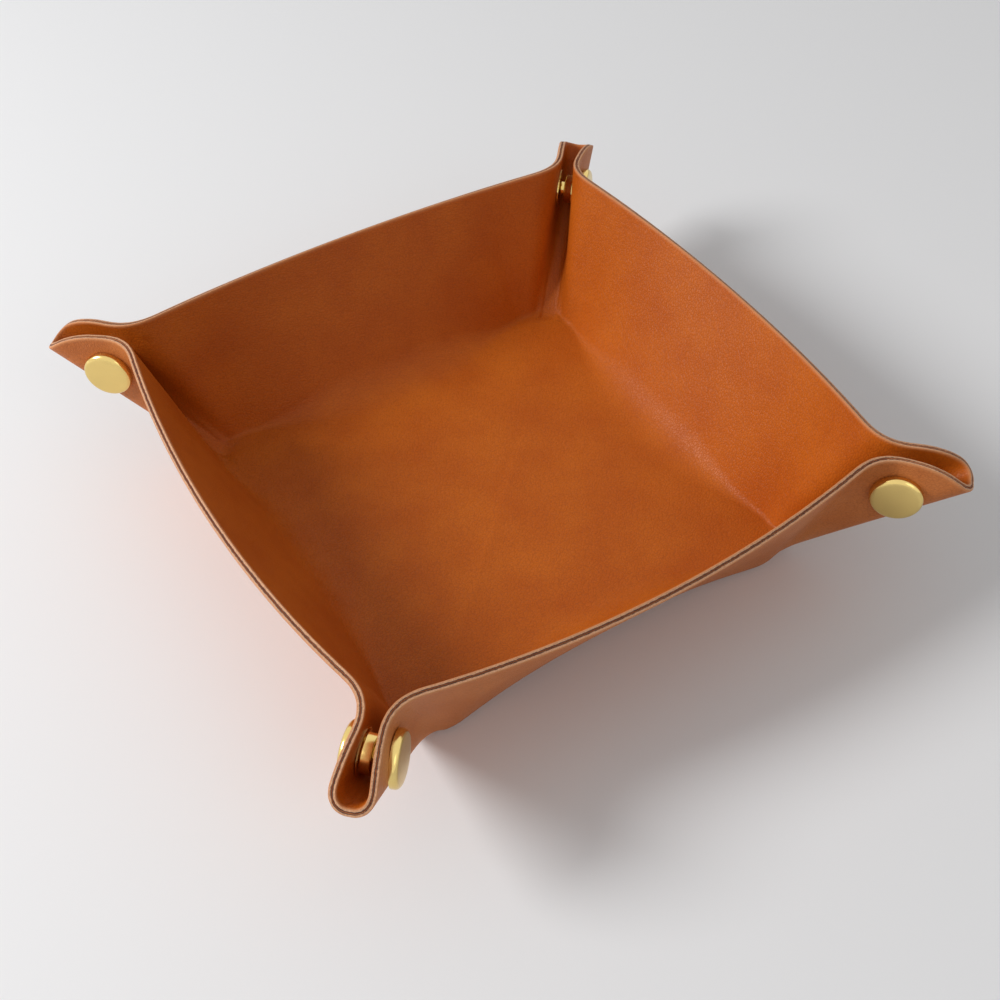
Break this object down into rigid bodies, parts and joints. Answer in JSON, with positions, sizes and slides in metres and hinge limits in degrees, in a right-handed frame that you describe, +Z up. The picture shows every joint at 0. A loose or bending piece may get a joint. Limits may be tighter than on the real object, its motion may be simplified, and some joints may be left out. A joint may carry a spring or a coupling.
{
  "type": "catchall tray",
  "caption": "Square two-ply leather tray whose corners are pinched into ears by gold snaps, and which unsnaps to lie flat.",
  "frame": {"origin": "middle of the floor's underside, where the tray rests", "axes": "+Z up out of the tray, with the walls facing along X and Y"},
  "size_m": [0.14, 0.14, 0.0332],
  "materials": {
    "leather_inner": "satin",
    "leather_outer": "satin",
    "gold": "polished",
    "spring_steel": "satin"
  },
  "bodies": {
    "base": {"base_outer": "leather_outer", "base_inner": "leather_inner"},
    "east_wall": {"east_wall_outer": "leather_outer", "east_wall_inner": "leather_inner"},
    "north_wall": {"north_wall_outer": "leather_outer", "north_wall_inner": "leather_inner"},
    "west_wall": {"west_wall_outer": "leather_outer", "west_wall_inner": "leather_inner"},
    "south_wall": {"south_wall_outer": "leather_outer", "south_wall_inner": "leather_inner"},
    "northeast_ear_north": {"northeast_ear_north_outer": "leather_outer", "northeast_ear_north_inner": "leather_inner", "northeast_cap_north": "gold", "northeast_stud": "gold"},
    "northeast_loop_north": {"northeast_loop_north": "leather_outer"},
    "northeast_ear_east": {"northeast_ear_east_outer": "leather_outer", "northeast_ear_east_inner": "leather_inner", "northeast_cap_east": "gold", "northeast_socket": "gold", "northeast_spring": "spring_steel"},
    "northeast_loop_east": {"northeast_loop_east": "leather_outer"},
    "northwest_ear_west": {"northwest_ear_west_outer": "leather_outer", "northwest_ear_west_inner": "leather_inner", "northwest_cap_west": "gold", "northwest_stud": "gold"},
    "northwest_loop_west": {"northwest_loop_west": "leather_outer"},
    "northwest_ear_north": {"northwest_ear_north_outer": "leather_outer", "northwest_ear_north_inner": "leather_inner", "northwest_cap_north": "gold", "northwest_socket": "gold", "northwest_spring": "spring_steel"},
    "northwest_loop_north": {"northwest_loop_north": "leather_outer"},
    "southwest_ear_south": {"southwest_ear_south_outer": "leather_outer", "southwest_ear_south_inner": "leather_inner", "southwest_cap_south": "gold", "southwest_stud": "gold"},
    "southwest_loop_south": {"southwest_loop_south": "leather_outer"},
    "southwest_ear_west": {"southwest_ear_west_outer": "leather_outer", "southwest_ear_west_inner": "leather_inner", "southwest_cap_west": "gold", "southwest_socket": "gold", "southwest_spring": "spring_steel"},
    "southwest_loop_west": {"southwest_loop_west": "leather_outer"},
    "southeast_ear_east": {"southeast_ear_east_outer": "leather_outer", "southeast_ear_east_inner": "leather_inner", "southeast_cap_east": "gold", "southeast_stud": "gold"},
    "southeast_loop_east": {"southeast_loop_east": "leather_outer"},
    "southeast_ear_south": {"southeast_ear_south_outer": "leather_outer", "southeast_ear_south_inner": "leather_inner", "southeast_cap_south": "gold", "southeast_socket": "gold", "southeast_spring": "spring_steel"},
    "southeast_loop_south": {"southeast_loop_south": "leather_outer"}
  },
  "joints": [
    {"name": "east_wall_fold", "type": "hinge", "parent": "base", "child": "east_wall", "pos_m": [0.0456, 0, 0], "axis": [0, 1, 0], "range_deg": [0, 64.1]},
    {"name": "north_wall_fold", "type": "hinge", "parent": "base", "child": "north_wall", "pos_m": [0, 0.0456, 0], "axis": [-1, 0, 0], "range_deg": [0, 64.1]},
    {"name": "west_wall_fold", "type": "hinge", "parent": "base", "child": "west_wall", "pos_m": [-0.0456, 0, 0], "axis": [0, -1, 0], "range_deg": [0, 64.1]},
    {"name": "south_wall_fold", "type": "hinge", "parent": "base", "child": "south_wall", "pos_m": [0, -0.0456, 0], "axis": [1, 0, 0], "range_deg": [0, 64.1]},
    {"name": "northeast_ear_north_fold", "type": "hinge", "parent": "north_wall", "child": "northeast_ear_north", "pos_m": [0.03991, 0.04587, 0.00222], "axis": [-0.382, -0.3114, -0.8701], "range_deg": [0, 41.19]},
    {"name": "northeast_loop_north_fold", "type": "hinge", "parent": "northeast_ear_north", "child": "northeast_loop_north", "pos_m": [0.0423, 0.04631, 0.00169], "axis": [0.4893, 0.5301, 0.6925], "range_deg": [0, 36.09]},
    {"name": "northeast_ear_east_fold", "type": "hinge", "parent": "east_wall", "child": "northeast_ear_east", "pos_m": [0.04587, 0.03991, 0.00222], "axis": [0.3114, 0.382, 0.8701], "range_deg": [0, 41.19]},
    {"name": "northeast_loop_east_fold", "type": "hinge", "parent": "northeast_ear_east", "child": "northeast_loop_east", "pos_m": [0.04631, 0.0423, 0.00169], "axis": [-0.5301, -0.4893, -0.6925], "range_deg": [0, 36.09]},
    {"name": "northwest_ear_west_fold", "type": "hinge", "parent": "west_wall", "child": "northwest_ear_west", "pos_m": [-0.04587, 0.03991, 0.00222], "axis": [0.3114, -0.382, -0.8701], "range_deg": [0, 41.19]},
    {"name": "northwest_loop_west_fold", "type": "hinge", "parent": "northwest_ear_west", "child": "northwest_loop_west", "pos_m": [-0.04631, 0.0423, 0.00169], "axis": [-0.5301, 0.4893, 0.6925], "range_deg": [0, 36.09]},
    {"name": "northwest_ear_north_fold", "type": "hinge", "parent": "north_wall", "child": "northwest_ear_north", "pos_m": [-0.03991, 0.04587, 0.00222], "axis": [-0.382, 0.3114, 0.8701], "range_deg": [0, 41.19]},
    {"name": "northwest_loop_north_fold", "type": "hinge", "parent": "northwest_ear_north", "child": "northwest_loop_north", "pos_m": [-0.0423, 0.04631, 0.00169], "axis": [0.4893, -0.5301, -0.6925], "range_deg": [0, 36.09]},
    {"name": "southwest_ear_south_fold", "type": "hinge", "parent": "south_wall", "child": "southwest_ear_south", "pos_m": [-0.03991, -0.04587, 0.00222], "axis": [0.382, 0.3114, -0.8701], "range_deg": [0, 41.19]},
    {"name": "southwest_loop_south_fold", "type": "hinge", "parent": "southwest_ear_south", "child": "southwest_loop_south", "pos_m": [-0.0423, -0.04631, 0.00169], "axis": [-0.4893, -0.5301, 0.6925], "range_deg": [0, 36.09]},
    {"name": "southwest_ear_west_fold", "type": "hinge", "parent": "west_wall", "child": "southwest_ear_west", "pos_m": [-0.04587, -0.03991, 0.00222], "axis": [-0.3114, -0.382, 0.8701], "range_deg": [0, 41.19]},
    {"name": "southwest_loop_west_fold", "type": "hinge", "parent": "southwest_ear_west", "child": "southwest_loop_west", "pos_m": [-0.04631, -0.0423, 0.00169], "axis": [0.5301, 0.4893, -0.6925], "range_deg": [0, 36.09]},
    {"name": "southeast_ear_east_fold", "type": "hinge", "parent": "east_wall", "child": "southeast_ear_east", "pos_m": [0.04587, -0.03991, 0.00222], "axis": [-0.3114, 0.382, -0.8701], "range_deg": [0, 41.19]},
    {"name": "southeast_loop_east_fold", "type": "hinge", "parent": "southeast_ear_east", "child": "southeast_loop_east", "pos_m": [0.04631, -0.0423, 0.00169], "axis": [0.5301, -0.4893, 0.6925], "range_deg": [0, 36.09]},
    {"name": "southeast_ear_south_fold", "type": "hinge", "parent": "south_wall", "child": "southeast_ear_south", "pos_m": [0.03991, -0.04587, 0.00222], "axis": [0.382, -0.3114, 0.8701], "range_deg": [0, 41.19]},
    {"name": "southeast_loop_south_fold", "type": "hinge", "parent": "southeast_ear_south", "child": "southeast_loop_south", "pos_m": [0.0423, -0.04631, 0.00169], "axis": [-0.4893, 0.5301, -0.6925], "range_deg": [0, 36.09]}
  ],
  "couplings": [
    {"joint": "north_wall_fold", "follows": "east_wall_fold", "ratio": 1},
    {"joint": "west_wall_fold", "follows": "east_wall_fold", "ratio": 1},
    {"joint": "south_wall_fold", "follows": "east_wall_fold", "ratio": 1},
    {"joint": "northeast_ear_north_fold", "follows": "east_wall_fold", "ratio": 0.64243},
    {"joint": "northeast_loop_north_fold", "follows": "east_wall_fold", "ratio": 0.56287},
    {"joint": "northeast_ear_east_fold", "follows": "east_wall_fold", "ratio": 0.64243},
    {"joint": "northeast_loop_east_fold", "follows": "east_wall_fold", "ratio": 0.56287},
    {"joint": "northwest_ear_west_fold", "follows": "east_wall_fold", "ratio": 0.64243},
    {"joint": "northwest_loop_west_fold", "follows": "east_wall_fold", "ratio": 0.56287},
    {"joint": "northwest_ear_north_fold", "follows": "east_wall_fold", "ratio": 0.64243},
    {"joint": "northwest_loop_north_fold", "follows": "east_wall_fold", "ratio": 0.56287},
    {"joint": "southwest_ear_south_fold", "follows": "east_wall_fold", "ratio": 0.64243},
    {"joint": "southwest_loop_south_fold", "follows": "east_wall_fold", "ratio": 0.56287},
    {"joint": "southwest_ear_west_fold", "follows": "east_wall_fold", "ratio": 0.64243},
    {"joint": "southwest_loop_west_fold", "follows": "east_wall_fold", "ratio": 0.56287},
    {"joint": "southeast_ear_east_fold", "follows": "east_wall_fold", "ratio": 0.64243},
    {"joint": "southeast_loop_east_fold", "follows": "east_wall_fold", "ratio": 0.56287},
    {"joint": "southeast_ear_south_fold", "follows": "east_wall_fold", "ratio": 0.64243},
    {"joint": "southeast_loop_south_fold", "follows": "east_wall_fold", "ratio": 0.56287}
  ]
}
